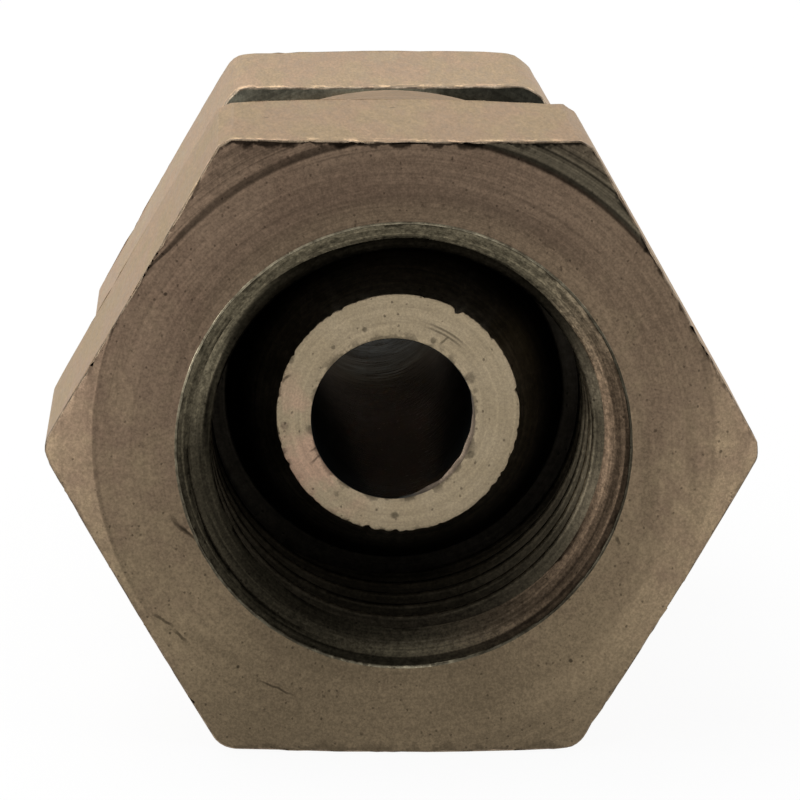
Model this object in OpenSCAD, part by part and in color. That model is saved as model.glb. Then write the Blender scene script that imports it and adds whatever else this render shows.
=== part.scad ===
// Straight hydraulic adapter: 1/4 in parallel pipe thread, male end to crimped female swivel.
// The turning axis is Y: the swivel's mouth lies in the plane y = 0 and the male end points to +Y.
// +Z is up, with one flat of each hexagon facing down.

/* [Thread] */
// Outer diameter of the pipe thread
thread_d = 13.157; // [12.8:0.001:13.6]
// Diameter of the nut's thread at its crests
thread_crest_d = 11.7; // [11.4:0.01:11.9]

/* [Swivel nut] */
// Width of the nut's hexagon across its flats
nut_af = 19.05; // [18.8:0.05:24]
// Length of the nut's hexagon
nut_hex_l = 8.6; // [7:0.1:11]
// How far the hexagon's corners are rounded in from sharp
nut_corner_in = 0.13; // [0.02:0.01:0.4]
// Sideways drift of the nut's hexagon off the turning axis
nut_drift_x = -0.03; // [-0.15:0.01:0.15]
// Upward drift of the nut's hexagon off the turning axis
nut_drift_z = -0.15; // [-0.15:0.01:0.15]
// Step from the hexagon's flats in to the edge of its flat front face
nut_face_in = 0.2; // [0.02:0.01:1]
// Slope of the chamfer on the hexagon's front corners, from the face
nut_front_slope = 16; // [5:1:35]
// Slope of the chamfer on the hexagon's rear corners, from the face
nut_rear_slope = 30; // [10:1:40]
// Diameter of the mouth at the front face
mouth_d = 13.77; // [13.3:0.01:15.5]
// Slope of the mouth's countersink, from the axis
mouth_slope = 45; // [35:1:60]
// Depth of the threaded part, from the front face
nut_thread_l = 7.4; // [7.2:0.1:8.4]
// Diameter of the round collar behind the hexagon
collar_d = 18.2; // [16.8:0.1:18.4]
// Slope of the crimp and of the head's shoulder, from the axis
crimp_slope = 45; // [35:1:55]
// Length of the straight lip at the end of the crimp
lip_end_l = 0.675; // [0.3:0.025:1.5]

/* [Nose] */
// Depth of the nose's face behind the mouth
nose_depth = 4.7; // [4:0.01:5.1]
// Diameter of the nose's face
nose_d = 7.64; // [7.2:0.01:8.4]
// Slope of the sealing cone, from the axis
cone_slope = 30; // [28:1:37]
// Edge break round the nose's face
nose_break = 0.06; // [0.02:0.01:0.2]
// Diameter of the head that holds the nut
head_d = 14.2; // [13.4:0.1:14.4]
// Length of the head's cylinder
head_l = 3.4; // [2.4:0.1:4]
// Diameter of the neck behind the head
neck_d = 10; // [9:0.1:10.6]
// Size of the corner left where the neck meets the hexagon
neck_corner = 0.3; // [0.1:0.05:0.5]

/* [Passage] */
// Diameter of the drilled passage
bore_d = 5.12; // [4:0.01:6]
// Sideways drift of the drilled passage off the axis
bore_drift_x = -0.16; // [-0.25:0.01:0.25]
// Upward drift of the drilled passage off the axis
bore_drift_z = -0.17; // [-0.25:0.01:0.25]

/* [Body hexagon] */
// Width of the body's hexagon across its flats
body_af = 17.46; // [16:0.01:22]
// Length of the body's hexagon
body_hex_l = 8.9; // [6:0.1:14]
// Turn of the body's hexagon against the nut's, as it lies
body_turn = -0.67; // [-30:0.01:30]
// How far the hexagon's corners are rounded in from sharp
body_corner_in = 0.13; // [0.02:0.01:0.4]
// Step from the hexagon's flats in to the edge of its front face
body_front_in = 0.02; // [0.02:0.01:1]
// Slope of the chamfer on the hexagon's front corners, from the face
body_front_slope = 4; // [2:1:30]
// Step from the hexagon's flats in to the edge of its rear face
body_rear_in = 0.2; // [0.02:0.01:1]
// Slope of the chamfer on the hexagon's rear corners, from the face
body_rear_slope = 26; // [10:1:40]

/* [Male end] */
// Length of the male end, from the hexagon to its face
male_l = 12; // [10:0.1:16]
// Width of the relief groove between the hexagon and the thread
relief_l = 1.9; // [1.4:0.1:3]
// Depth of the relief groove below the thread's outer diameter
relief_deep = 0.95; // [0.6:0.05:1.3]
// Size of the chamfer at the thread's start
male_chamfer = 0.9; // [0.5:0.05:1.2]
// Diameter of the inner cone's mouth
seat_d = 9.8; // [8:0.1:10.2]

/* [Clearances] */
// Running clearance round the head, on the radius
head_clear = 0.08; // [0.03:0.01:0.1]
// Play of the nut along the axis, each way
play = 0.35; // [0.3:0.01:0.5]
// Free space between the nose's barrel and the thread's crests, on the radius
barrel_clear = 0.55; // [0.3:0.01:0.9]
// Free space between the neck and the crimped lip, on the radius
lip_clear = 0.35; // [0.3:0.01:0.6]
// Gap between the nut's end and the body's hexagon
nut_gap = 0.57; // [0.5:0.01:1.5]

/* [Hidden] */
$fn = 96;
STEEL_TAN = [0.66, 0.61, 0.53];
STEEL_BROWN = [0.55, 0.50, 0.43];
// How far cutting shapes reach past what they cut
OVER = 1;

crest_r = thread_crest_d / 2;
barrel_r = crest_r - barrel_clear;
head_r = head_d / 2;
chamber_r = head_r + head_clear;
neck_r = neck_d / 2;
lip_r = neck_r + lip_clear;
collar_r = collar_d / 2;
collar_wall = collar_r - chamber_r;

// Stations along the axis, front to back
countersink_y = (mouth_d / 2 - crest_r) / tan(mouth_slope);
cone_end_y = nose_depth + (barrel_r - nose_d / 2) / tan(cone_slope);
head_y = nut_thread_l + play;
head_end_y = head_y + head_l;
shoulder_end_y = head_end_y + (head_r - neck_r) / tan(crimp_slope);
crimp_y = head_end_y + play;
lip_y = crimp_y + (chamber_r - lip_r) / tan(crimp_slope);
// The crimp keeps the collar's wall, so its outside bends this much later than its inside
bend_lag = collar_wall * tan(crimp_slope / 2);
nut_end_y = lip_y + bend_lag + lip_end_l;
hex_y = nut_end_y + nut_gap;
male_y = hex_y + body_hex_l;
end_y = male_y + male_l;

// Distance from the axis to a sharp corner of a hexagon
function corner_r(af) = af / 2 / cos(30);

// Drop along the axis of a chamfer with this slope, from radius a to radius b
function drop(a, b, slope) = (b - a) * tan(slope);

// A profile of [radius, station] points turned round the Y axis
module turned(points) {
    rotate([-90, 0, 0])
        rotate_extrude()
            polygon(points);
}

// A bar of hexagon from y0 to y1 with a flat facing down
module hex_bar(af, y0, y1) {
    translate([0, y0, 0])
        rotate([-90, 0, 0])
            cylinder(r = corner_r(af), h = y1 - y0, $fn = 6);
}

// The turned outline that rounds a hexagon's corners and chamfers them at both ends
module hex_outline(af, y0, y1, corner_in, front_in, front_slope, rear_in, rear_slope) {
    outer_r = corner_r(af) - corner_in;
    front_r = af / 2 - front_in;
    rear_r = af / 2 - rear_in;
    turned([
        [0, y0],
        [front_r, y0],
        [outer_r, y0 + drop(front_r, outer_r, front_slope)],
        [outer_r, y1 - drop(rear_r, outer_r, rear_slope)],
        [rear_r, y1],
        [0, y1]
    ]);
}

module nut_hexagon() {
    translate([nut_drift_x, 0, nut_drift_z])
        intersection() {
            hex_bar(nut_af, 0, nut_hex_l);
            hex_outline(nut_af, 0, nut_hex_l, nut_corner_in,
                nut_face_in, nut_front_slope, 0, nut_rear_slope);
        }
}

// Round collar behind the nut's hexagon, with its end crimped in behind the head
module collar() {
    turned([
        [0, nut_hex_l - OVER],
        [collar_r, nut_hex_l - OVER],
        [collar_r, crimp_y + bend_lag],
        [lip_r + collar_wall, lip_y + bend_lag],
        [lip_r + collar_wall, nut_end_y],
        [0, nut_end_y]
    ]);
}

// All that is bored out of the nut: countersink, thread, head chamber and lip
module nut_inside() {
    turned([
        [0, -OVER],
        [mouth_d / 2 + OVER * tan(mouth_slope), -OVER],
        [crest_r, countersink_y],
        [crest_r, nut_thread_l],
        [chamber_r, nut_thread_l],
        [chamber_r, crimp_y],
        [lip_r, lip_y],
        [lip_r, nut_end_y + OVER],
        [0, nut_end_y + OVER]
    ]);
}

module swivel_nut() {
    color(STEEL_BROWN)
        difference() {
            union() {
                nut_hexagon();
                collar();
            }
            nut_inside();
        }
}

// Sealing cone, barrel, head and neck, down to the body's hexagon
module nose() {
    turned([
        [0, nose_depth],
        [nose_d / 2 - nose_break, nose_depth],
        [nose_d / 2 + nose_break * tan(cone_slope), nose_depth + nose_break],
        [barrel_r, cone_end_y],
        [barrel_r, head_y],
        [head_r, head_y],
        [head_r, head_end_y],
        [neck_r, shoulder_end_y],
        [neck_r, hex_y - neck_corner],
        [neck_r + neck_corner, hex_y],
        [neck_r + neck_corner, hex_y + OVER],
        [0, hex_y + OVER]
    ]);
}

module body_hexagon() {
    rotate([0, body_turn, 0])
        intersection() {
            hex_bar(body_af, hex_y, male_y);
            hex_outline(body_af, hex_y, male_y, body_corner_in,
                body_front_in, body_front_slope, body_rear_in, body_rear_slope);
        }
}

// Relief groove, plain thread cylinder and end chamfer behind the hexagon
module male_end() {
    thread_r = thread_d / 2;
    relief_r = thread_r - relief_deep;
    turned([
        [0, male_y - OVER],
        [relief_r, male_y - OVER],
        [relief_r, male_y + relief_l - relief_deep],
        [thread_r, male_y + relief_l],
        [thread_r, end_y - male_chamfer],
        [thread_r - male_chamfer, end_y],
        [0, end_y]
    ]);
}

// Inner sealing cone at the male end's face
module seat_cone() {
    seat_r = seat_d / 2;
    turned([
        [0, end_y - seat_r / tan(cone_slope)],
        [seat_r + OVER * tan(cone_slope), end_y + OVER],
        [0, end_y + OVER]
    ]);
}

// The drilled passage, a little off the axis as drilled
module passage() {
    translate([bore_drift_x, nose_depth - OVER, bore_drift_z])
        rotate([-90, 0, 0])
            cylinder(d = bore_d, h = end_y - nose_depth + 2 * OVER);
}

module body() {
    color(STEEL_TAN)
        difference() {
            union() {
                nose();
                body_hexagon();
                male_end();
            }
            passage();
            seat_cone();
        }
}

swivel_nut();
body();
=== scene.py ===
import math

import bmesh
import bpy
from mathutils import Matrix, Vector, noise


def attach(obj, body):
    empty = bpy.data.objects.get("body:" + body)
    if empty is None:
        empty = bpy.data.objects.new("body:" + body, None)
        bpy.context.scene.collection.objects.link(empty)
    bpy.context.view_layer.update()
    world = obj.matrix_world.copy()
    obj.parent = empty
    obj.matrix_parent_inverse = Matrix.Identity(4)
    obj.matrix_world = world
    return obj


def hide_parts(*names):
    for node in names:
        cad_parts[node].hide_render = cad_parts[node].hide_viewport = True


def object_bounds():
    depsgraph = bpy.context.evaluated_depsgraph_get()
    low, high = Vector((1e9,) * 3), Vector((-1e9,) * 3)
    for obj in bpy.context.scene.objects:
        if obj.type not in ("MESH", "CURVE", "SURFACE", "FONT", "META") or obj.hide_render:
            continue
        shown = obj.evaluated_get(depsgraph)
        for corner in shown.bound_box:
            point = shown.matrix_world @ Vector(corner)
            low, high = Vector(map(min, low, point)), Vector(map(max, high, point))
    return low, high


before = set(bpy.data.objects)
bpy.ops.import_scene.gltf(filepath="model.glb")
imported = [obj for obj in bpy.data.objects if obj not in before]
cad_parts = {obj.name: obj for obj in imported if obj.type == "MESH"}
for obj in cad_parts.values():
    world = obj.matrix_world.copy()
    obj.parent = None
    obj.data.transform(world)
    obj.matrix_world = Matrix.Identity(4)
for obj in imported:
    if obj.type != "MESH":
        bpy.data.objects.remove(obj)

CAD_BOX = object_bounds()

MM = 0.001
TURN = 2 * math.pi
COS_30 = math.cos(math.radians(30))
# Steps in one turn of a turned surface, and the equal sectors that it is spun in
STEPS = 240
SECTORS = 20
# Points closer than this are one point, and the flats stay this far inside the solid's
HAIR = 0.001
# A point this close to a cutting plane lies on it
TOUCH = 1e-5

# Sizes in millimetres, as the solids have them
PITCH = 1.337
THREAD_R = 6.5785
ROOT_R = 5.7225
CREST_R = 5.85

NUT_HALF = 9.525
NUT_HEX_L = 8.6
NUT_DRIFT = Vector((-0.03, 0, -0.15))
NUT_FRONT_SLOPE = math.tan(math.radians(16))
NUT_REAR_SLOPE = math.tan(math.radians(30))
MOUTH_R = 6.885
NUT_THREAD_L = 7.4
COLLAR_R = 9.1
CHAMBER_R = 7.18
LIP_R = 5.35
WALL = COLLAR_R - CHAMBER_R
CRIMP_Y = 11.5
LIP_Y = 13.33
BEND_LAG = 0.795
NUT_END_Y = 14.8

NOSE_Y = 4.7
NOSE_R = 3.82
BARREL_R = 5.3
CONE_END_Y = 7.26
HEAD_Y = 7.75
HEAD_R = 7.1
HEAD_END_Y = 11.15
NECK_R = 5.0
SHOULDER_END_Y = 13.25
BORE_R = 2.56
BORE_DRIFT = Vector((-0.16, 0, -0.17))

BODY_HALF = 8.73
BODY_TURN = -0.67
BODY_FRONT_SLOPE = math.tan(math.radians(4))
BODY_REAR_SLOPE = math.tan(math.radians(26))
HEX_Y = 15.37
MALE_Y = 24.27
END_Y = 36.27
RELIEF_R = 5.6285
RELIEF_END_Y = MALE_Y + 1.9
MALE_CHAMFER = 0.9
SEAT_R = 4.9
SEAT_SLOPE = math.tan(math.radians(30))

# How each corner of a hexagon is rounded, from the upper right one round to the upper left
NUT_ROUNDS = (0.65, 0.84, 0.84, 0.84, 0.84, 0.65)
BODY_ROUNDS = (1.2, 1.0, 1.0, 1.0, 1.0, 0.9)
# The flat facets of such a rounding, in degrees from the corner's middle
FACETS = (-24, -12, 0, 12, 24)
CORNER_IN = 0.13
# The break on a hexagon's edges, and the angle from which an edge gets one
EDGE_BREAK = 0.05
BROKEN_FROM = math.radians(40)
# The depth and the fineness of the nicks in such an edge
NICK_DEPTH = 0.055
NICK_SCALE = 2.7
# Edges from this angle on are drawn sharp
SHARP_FROM = math.radians(38)

# The thread's crests and roots: their radius as a share of the pitch, and their arc in degrees
ROUND_SHARE = 0.137329
ROUND_ARC = (-62.5, -35, -12, 12, 35, 62.5)
# Where the points between lie on a flank of the thread that is longer than this
LONG_FLANK = 0.2
FLANK_POINTS = (0.25, 0.5, 0.75)
# A fillet takes up no more than this share of the way to the next corner
FILLET_REACH = 0.45


# Mesh making

def rounded(corners, arc=3):
    """The [radius, station] line through (radius, station, fillet) corners."""
    line = []
    for i, (r, y, fillet) in enumerate(corners):
        here = Vector((r, y))
        if not fillet or i in (0, len(corners) - 1):
            line.append(here)
            continue
        back = Vector(corners[i - 1][:2]) - here
        ahead = Vector(corners[i + 1][:2]) - here
        cut = fillet / math.tan(back.angle(ahead) / 2)
        cut = min(cut, FILLET_REACH * back.length, FILLET_REACH * ahead.length)
        start = here + back.normalized() * cut
        end = here + ahead.normalized() * cut
        for k in range(arc + 1):
            t = k / arc
            line.append(start * (1 - t) ** 2 + here * 2 * t * (1 - t) + end * t * t)
    return line


def turned(line, screw=0.0, finish=0):
    """An open tube: the line spun round the Y axis, rising by screw in one turn."""
    bm = bmesh.new()
    row = [bm.verts.new((r, y, 0)) for r, y in line]
    edges = [bm.edges.new(pair) for pair in zip(row, row[1:])]
    bmesh.ops.spin(
        bm, geom=row + edges, cent=(0, 0, 0), axis=(0, 1, 0), dvec=(0, screw / STEPS, 0),
        angle=TURN / SECTORS, steps=STEPS // SECTORS, use_merge=False,
    )
    bmesh.ops.spin(
        bm, geom=everything(bm), cent=(0, 0, 0), axis=(0, 1, 0), dvec=(0, screw / SECTORS, 0),
        angle=TURN * (SECTORS - 1) / SECTORS, steps=SECTORS - 1, use_duplicate=True,
    )
    bmesh.ops.remove_doubles(bm, verts=bm.verts, dist=HAIR)
    for face in bm.faces:
        face.material_index = finish
    return bm


def radius(v):
    return math.hypot(v.co.x, v.co.z)


def bearing(v):
    """The direction of a point from the axis, in degrees from +X towards +Z."""
    return math.degrees(math.atan2(v.co.z, v.co.x))


def set_radius(v, r):
    v.co.x, v.co.z = v.co.x * r / radius(v), v.co.z * r / radius(v)


def everything(bm):
    return bm.verts[:] + bm.edges[:] + bm.faces[:]


def planes(half, turn, rounds):
    """The flats of a hexagon and the facets that round its corners, as (angle, distance)."""
    sharp = half / COS_30
    for k, corner_round in enumerate(rounds):
        yield 60 * k + turn, half
        centre = (half - corner_round) / COS_30
        for facet in FACETS:
            reach = centre * math.cos(math.radians(facet)) + corner_round
            yield 60 * k + 30 + facet + turn, min(reach, sharp - CORNER_IN)


def hexagon(bm, half, turn, rounds, drift, flat_finish, edge_finish):
    """A turned outline cut by six flats, with its edges broken."""
    bmesh.ops.translate(bm, vec=-drift, verts=bm.verts)
    for angle, reach in planes(half - HAIR, turn, rounds):
        a = math.radians(angle)
        normal = Vector((math.sin(a), 0, math.cos(a)))
        cut = bmesh.ops.bisect_plane(
            bm, geom=everything(bm), dist=TOUCH, plane_co=normal * reach, plane_no=normal,
            clear_outer=True,
        )["geom_cut"]
        loop = [e for e in cut if isinstance(e, bmesh.types.BMEdge)]
        bmesh.ops.edgeloop_fill(bm, edges=loop, mat_nr=flat_finish)
    flats = [f for f in bm.faces if f.material_index == flat_finish]
    borders = {e for f in flats for e in f.edges if e.is_manifold}
    borders = [e for e in borders if e.calc_face_angle() > BROKEN_FROM]
    broken = bmesh.ops.bevel(
        bm, geom=borders, offset=EDGE_BREAK, offset_type="OFFSET", affect="EDGES", segments=2,
        profile=0.5, material=-1, clamp_overlap=False,
    )["faces"]
    middle = sum(v.co.y for v in bm.verts) / len(bm.verts)
    for face in broken:
        at_front = face.calc_center_median().y < middle
        face.material_index = edge_finish if at_front else flat_finish
    for v in {v for face in broken for v in face.verts}:
        nick = NICK_DEPTH * max(0.0, noise.noise(v.co * NICK_SCALE) + 0.1)
        set_radius(v, radius(v) - nick)
    bmesh.ops.translate(bm, vec=drift, verts=bm.verts)
    return bm


def thread_line(first, last, phase):
    """The rounded 55 degree pipe thread's line, two turns longer at each end."""
    nose = ROUND_SHARE * PITCH
    line = []
    for k in range(int(first / PITCH) - 2, int(last / PITCH) + 3):
        for half_turn, r0, sign in ((0, THREAD_R - nose, 1), (0.5, ROOT_R + nose, -1)):
            for a in ROUND_ARC:
                a = math.radians(a)
                y = (k + half_turn + phase) * PITCH + nose * math.sin(a)
                here = Vector((r0 + sign * nose * math.cos(a), y))
                if line and (here - line[-1]).length > LONG_FLANK:
                    line += [line[-1].lerp(here, t) for t in FLANK_POINTS]
                line.append(here)
    return line


def thread(first, last, phase, limit, finish):
    """A right-hand thread's surface from first to last, held to limit(radius, station)."""
    bm = turned(thread_line(first, last, phase), screw=PITCH, finish=finish)
    for v in bm.verts:
        set_radius(v, limit(radius(v), v.co.y))
    for y, keep_ahead in ((first, True), (last, False)):
        bmesh.ops.bisect_plane(
            bm, geom=everything(bm), dist=TOUCH, plane_co=(0, y, 0), plane_no=(0, 1, 0),
            clear_inner=keep_ahead, clear_outer=not keep_ahead,
        )
    return bm


def rims(bm):
    """Each open rim, as its mean station, its mean radius and its edges."""
    left = {e for e in bm.edges if e.is_boundary}
    found = []
    while left:
        rim, queue = [], [left.pop()]
        while queue:
            edge = queue.pop()
            rim.append(edge)
            for v in edge.verts:
                for near in v.link_edges:
                    if near in left:
                        left.discard(near)
                        queue.append(near)
        points = {v for e in rim for v in e.verts}
        y = sum(v.co.y for v in points) / len(points)
        r = sum(radius(v) for v in points) / len(points)
        found.append((y, r, rim))
    return found


def joined(parts, seams):
    """One closed mesh from open tubes, bridged from rim to rim."""
    bm = bmesh.new()
    for part in parts:
        loose = bpy.data.meshes.new("part")
        part.to_mesh(loose)
        part.free()
        bm.from_mesh(loose)
        bpy.data.meshes.remove(loose)
    for a, b, finish in seams:
        open_rims = rims(bm)
        pair = []
        for y, r in (a, b):
            pair.append(min(open_rims, key=lambda rim: abs(rim[0] - y) + abs(rim[1] - r)))
            open_rims.remove(pair[-1])
        made = bmesh.ops.bridge_loops(bm, edges=pair[0][2] + pair[1][2])["faces"]
        for face in made:
            face.material_index = finish
    bmesh.ops.recalc_face_normals(bm, faces=bm.faces)
    return bm


def finished(bm, name, body, node, finishes):
    """The piece itself: in metres, smooth but for its sharp edges, and riding on its body."""
    open_edges = sum(not e.is_manifold for e in bm.edges)
    print(name, len(bm.faces), "faces", open_edges, "open edges")
    bmesh.ops.scale(bm, vec=(MM, MM, MM), verts=bm.verts)
    mesh = bpy.data.meshes.new(name)
    for face in bm.faces:
        face.smooth = True
    bm.to_mesh(mesh)
    bm.free()
    mesh.set_sharp_from_angle(angle=SHARP_FROM)
    piece = bpy.data.objects.new(name, mesh)
    bpy.context.scene.collection.objects.link(piece)
    for finish in finishes:
        mesh.materials.append(finish)
    weighted = piece.modifiers.new("weighted", "WEIGHTED_NORMAL")
    weighted.keep_sharp = True
    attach(piece, body)
    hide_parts(node)


# Finishes

class Nodes:
    """An emptied node tree, with short ways to add nodes to it."""

    def __init__(self, tree):
        self.tree = tree
        self.tree.nodes.clear()

    def put(self, kind, inputs=(), out=0, **options):
        """Adds a node and returns one of its outputs, or the node itself."""
        node = self.tree.nodes.new("ShaderNode" + kind)
        for key, value in options.items():
            setattr(node, key, value)
        for key, value in dict(inputs).items():
            if isinstance(value, bpy.types.NodeSocket):
                self.tree.links.new(value, node.inputs[key])
            else:
                node.inputs[key].default_value = value
        return node if out is None else node.outputs[out]

    def math(self, operation, a, b=0.0):
        return self.put("Math", {0: a, 1: b}, operation=operation)

    def mix(self, factor, a, b, how="MIX"):
        return self.put("Mix", {0: factor, 6: a, 7: b}, out=2, data_type="RGBA", blend_type=how)

    def ramp(self, value, low, high, start=0.0, end=1.0):
        return self.put("MapRange", {
            "Value": value, "From Min": low, "From Max": high, "To Min": start, "To Max": end,
        }, interpolation_type="SMOOTHSTEP")

    def length(self, a, b):
        """How long the line from (0, 0) to (a, b) is."""
        return self.math("SQRT", self.math(
            "ADD", self.math("MULTIPLY", a, a), self.math("MULTIPLY", b, b)))


class Finish(Nodes):
    """A material's nodes, read from the piece's own place in millimetres."""

    def __init__(self, name):
        self.material = bpy.data.materials.new(name)
        self.material.use_nodes = True
        super().__init__(self.material.node_tree)
        place = self.put("TexCoord", out="Object")
        self.place = self.put("Mapping", {"Vector": place, "Scale": (1 / MM,) * 3})
        split = self.put("SeparateXYZ", {0: self.place}, out=None)
        self.x, self.y, self.z = split.outputs
        self.r = self.length(self.x, self.z)

    def noise(self, scale, detail=3.0, rough=0.55, vector=None, w=None):
        inputs = {
            "Vector": vector or self.place, "Scale": scale, "Detail": detail, "Roughness": rough,
        }
        if w is not None:
            inputs["W"] = w
        return self.put("TexNoise", inputs, noise_dimensions="4D" if w is not None else "3D")

    def wander(self, scale, amount, detail=3.0, rough=0.55):
        """Noise that strays by up to half the amount to either side of 0."""
        stray = self.math("SUBTRACT", self.noise(scale, detail, rough), 0.5)
        return self.math("MULTIPLY", stray, amount)

    def rings(self, density, drift=0.8, detail=3.0):
        """Lines that run round the axis, as a cutting tool leaves them."""
        around = self.put("CombineXYZ", {
            0: self.math("MULTIPLY", self.r, density),
            1: self.math("MULTIPLY", self.math("DIVIDE", self.x, self.r), drift),
            2: self.math("MULTIPLY", self.math("DIVIDE", self.z, self.r), drift),
        })
        return self.noise(1.0, detail, vector=around, w=self.math("MULTIPLY", self.y, density))

    def drawn(self, density):
        """Lines that run along the axis, as drawn bar has them."""
        along = self.put("Mapping", {"Vector": self.place, "Scale": (density, 0.6, density)})
        return self.noise(1.0, 3.0, vector=along)

    def specks(self, scale, share, size):
        """Small ragged spots, on a share of the cells of a pattern."""
        ragged = self.put("TexNoise", {"Vector": self.place, "Scale": scale * 4}, out=1)
        place = self.put("VectorMath", {0: ragged, 1: (0.2 / scale,) * 3, 2: self.place},
                         operation="MULTIPLY_ADD")
        cells = self.put("TexVoronoi", {"Vector": place, "Scale": scale}, out=None)
        spot = self.ramp(cells.outputs["Distance"], size, size * 0.45)
        picked = self.put("SeparateColor", {0: cells.outputs["Color"]})
        return self.math("MULTIPLY", spot, self.math("LESS_THAN", picked, share))

    def all_of(self, *shares):
        whole = shares[0]
        for share in shares[1:]:
            whole = self.math("MULTIPLY", whole, share)
        return whole

    def dim(self, shade, share, amount):
        """Darker by amount where the share is 1, or lighter where amount is negative."""
        return self.math("MULTIPLY", shade, self.math(
            "SUBTRACT", 1.0, self.math("MULTIPLY", share, amount)))

    def around(self, angle, spread):
        """1 in one direction from the axis, falling to 0 at spread degrees to either side."""
        a = math.radians(angle)
        along = self.math("ADD", self.math("MULTIPLY", self.x, math.cos(a)),
                          self.math("MULTIPLY", self.z, math.sin(a)))
        return self.ramp(self.math("DIVIDE", along, self.r), math.cos(math.radians(spread)), 1)

    def line(self, value, centre, half):
        off = self.math("ABSOLUTE", self.math("SUBTRACT", value, centre))
        return self.ramp(off, half, half * 0.3)

    def scratch(self, start, end, half):
        """A fine line on a front face, from one (x, z) point to another."""
        (x0, z0), (x1, z1) = start, end
        length = math.hypot(x1 - x0, z1 - z0)
        ux, uz = (x1 - x0) / length, (z1 - z0) / length
        x = self.math("SUBTRACT", self.x, x0)
        z = self.math("SUBTRACT", self.z, z0)
        along = self.math("ADD", self.math("MULTIPLY", x, ux), self.math("MULTIPLY", z, uz))
        aside = self.math("SUBTRACT", self.math("MULTIPLY", z, ux), self.math("MULTIPLY", x, uz))
        across = self.line(self.math("ADD", aside, self.wander(1.5, 0.25, 2.0)), 0.0, half)
        ends = self.line(along, length / 2, length / 2)
        return self.math("MULTIPLY", across, ends)

    def pit(self, a, b, place, size):
        """A small ragged hollow at one place of the (a, b) plane."""
        off_a = self.math("SUBTRACT", a, place[0])
        off_b = self.math("SUBTRACT", b, place[1])
        off = self.math("ADD", self.length(off_a, off_b), self.wander(5.0, size, 2.0))
        return self.ramp(off, size, size * 0.4)

    def beside(self, drift):
        """The offset in z from an axis that has drifted, and the distance from it."""
        off_x = self.math("SUBTRACT", self.x, drift.x)
        off_z = self.math("SUBTRACT", self.z, drift.z)
        return off_z, self.length(off_x, off_z)


def steel(name, dark, light, rough, rings=0.0, drawn=0.0, grain=1.0, grit=1.0, specks=0.3,
          patches=0.35, stretch=1.0, ring_density=5.0, ring_height=0.006, grain_height=0.004,
          ring_place=None, tones=(), edge=(1, 1, 1), marks=None):
    """Oily steel: two tones in patches, tool lines, fine grain and dark specks."""
    f = Finish(name)
    place = f.put("Mapping", {"Vector": f.place, "Scale": (1, stretch, 1)})
    patch = f.noise(patches, 4.0, 0.6, vector=place)
    fine = f.noise(5.0, 4.0, 0.65, vector=place)
    grits = f.noise(13.0, 2.0, 0.7, vector=place)
    colour = f.mix(f.ramp(patch, 0.32, 0.68), (*dark, 1), (*light, 1))
    for where, tone in tones:
        colour = f.mix(where(f), colour, (*tone, 1))
    shade = f.math("MULTIPLY", f.ramp(fine, 0.25, 0.75, 1 - 0.22 * grain, 1 + 0.22 * grain),
                   f.ramp(grits, 0.25, 0.75, 1 - 0.16 * grit, 1 + 0.16 * grit))
    height = f.math("MULTIPLY", fine, grain * grain_height)
    if rings:
        lines = f.rings(ring_density)
        fine_lines = f.rings(ring_density * 2.6, 1.6, 2.0)
        ring_shade = f.ramp(lines, 0.3, 0.7, -0.3 * rings, 0.3 * rings)
        fine_shade = f.ramp(fine_lines, 0.3, 0.7, -0.24 * rings, 0.24 * rings)
        ring_shade = f.math("ADD", ring_shade, fine_shade)
        if ring_place:
            ring_shade = f.math("MULTIPLY", ring_shade, ring_place(f))
        shade = f.math("MULTIPLY", shade, f.math("ADD", 1.0, ring_shade))
        both = f.math("ADD", lines, f.math("MULTIPLY", fine_lines, 0.35))
        height = f.math("ADD", height, f.math("MULTIPLY", both, rings * ring_height))
    if drawn:
        bars = f.drawn(3.0)
        bar_shade = f.ramp(bars, 0.3, 0.7, 1 - 0.2 * drawn, 1 + 0.2 * drawn)
        shade = f.math("MULTIPLY", shade, bar_shade)
        height = f.math("ADD", height, f.math("MULTIPLY", bars, drawn * 0.004))
    spots = f.math("MAXIMUM", f.specks(1.7, specks * 0.25, 0.12), f.specks(4.5, specks, 0.24))
    shade = f.dim(shade, spots, 0.45)
    if marks:
        shade = marks(f, shade)
    grey = f.put("CombineColor", {0: shade, 1: shade, 2: shade})
    colour = f.mix(1.0, colour, grey, "MULTIPLY")
    roughness = f.ramp(f.math("ADD", fine, f.math("MULTIPLY", patch, 0.6)), 0.5, 1.1, *rough)
    height = f.math("SUBTRACT", height, f.math("MULTIPLY", spots, 0.006))
    bump = f.put("Bump", {"Height": height, "Strength": 1.0, "Distance": MM})
    shader = f.put("BsdfPrincipled", {
        "Base Color": colour, "Metallic": 1.0, "Roughness": roughness, "Normal": bump,
        "Specular Tint": (*edge, 1),
    })
    f.put("OutputMaterial", {"Surface": shader}, out=None)
    return f.material


FACE_Y = 0.02
FACE_R = 9.46
FACE_DRIFT = Vector((0.05, 0, 0.2))
# The raised rim of the mouth ends here
RIM_R = 6.95
# Between these radii the face joins its turned ring to its hexagon
FACE_SEAM = (8.6, 8.88)
# The step round the face lies further in at the two upper corners, by the height it is at
STEP_IN = 0.2
UPPER = (0.5, 0.66)
# The groove at the step is cut deepest in this direction and runs out to either side of it
GROOVE_AT = 56
GROOVE_SPREAD = 36
GROOVE_DEPTH = 0.07
GROOVE_WIDTH = 0.42
# Tool lines beyond the step at the upper right: how far out, and how much darker
CORNER_LINES = ((0.43, -0.3), (0.57, 0.6), (0.67, -0.25), (0.81, 0.45), (0.93, -0.2))
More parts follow.
